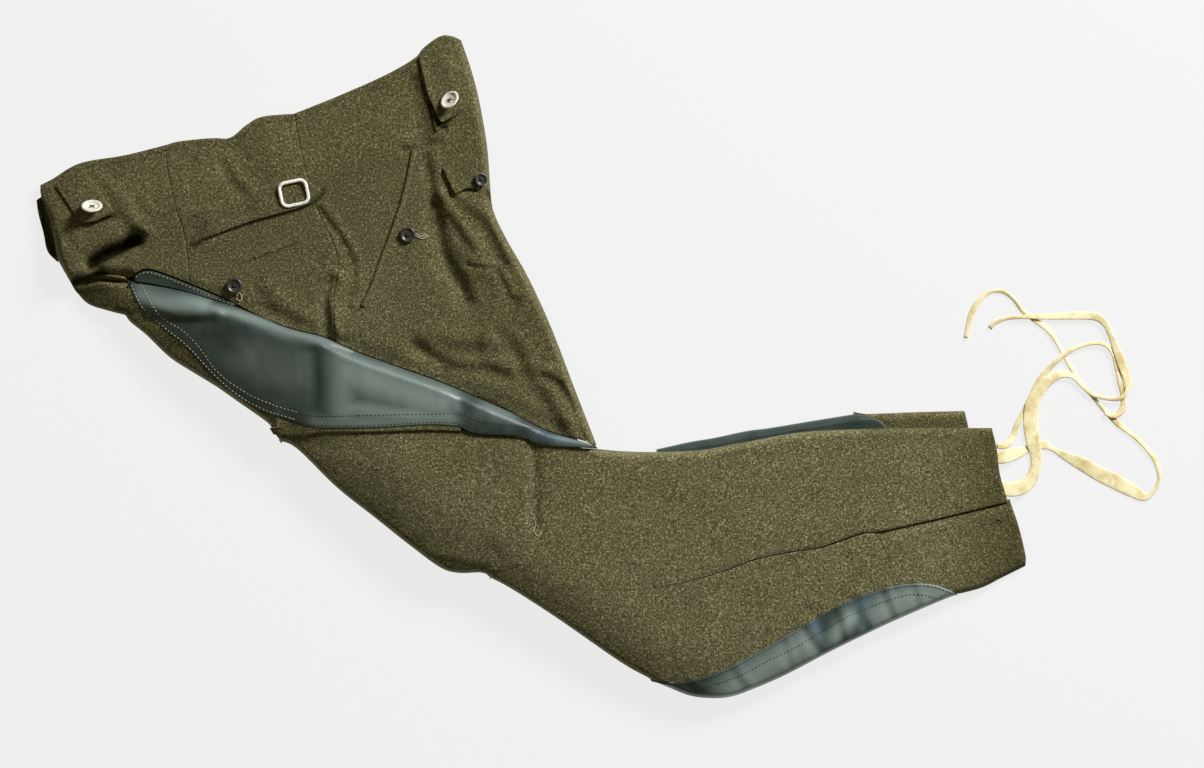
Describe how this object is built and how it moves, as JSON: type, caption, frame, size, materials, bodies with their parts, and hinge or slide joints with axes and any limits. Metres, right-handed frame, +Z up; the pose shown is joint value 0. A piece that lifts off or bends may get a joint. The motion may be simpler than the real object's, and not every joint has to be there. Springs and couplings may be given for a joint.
{
  "type": "riding breeches, folded flat",
  "caption": "Heavy wool riding breeches with leather strapping at seat, inner thigh and calf, laid flat with one leg folded over the other and loose hem tapes.",
  "frame": {"origin": "bottom centre of the laid-out garment, without the loose hem tapes, on the surface it rests on", "axes": "+X from the waist towards the hem, +Y from the folded-over left leg towards the right leg, +Z up from the surface"},
  "size_m": [1.1261, 0.6624, 0.041],
  "materials": {
    "wool": "matte, napped",
    "strapping": "worn satin",
    "white_button": "polished",
    "dark_button": "satin",
    "buckle_metal": "satin",
    "cotton_tape": "matte"
  },
  "bodies": {
    "root": {"hidden_layers": "wool", "left_back_hip": "wool", "right_back_hip": "wool", "right_front_hip": "wool", "left_waist_under": "wool", "left_seat": "wool", "left_thigh_leather": "strapping", "right_seat_leather": "strapping", "left_leg_outer": "wool", "left_calf": "wool", "left_calf_leather": "strapping", "left_hem_under": "wool", "right_calf_leather": "strapping", "right_calf_hem": "wool", "left_belt_tab": "wool", "right_belt_tab": "wool", "right_belt_tab_end": "wool", "adjuster_strap": "wool", "watch_pocket_flap": "wool", "hip_pocket_welt": "wool", "slash_pocket_edge": "wool", "white_button_left": "white_button", "white_button_right": "white_button", "dark_button_hip": "dark_button", "dark_button_pocket": "dark_button", "dark_button_flap": "dark_button", "buckle_frame": "buckle_metal", "tape_upper": "cotton_tape", "tape_lower": "cotton_tape", "tape_under": "cotton_tape"}
  },
  "joints": []
}
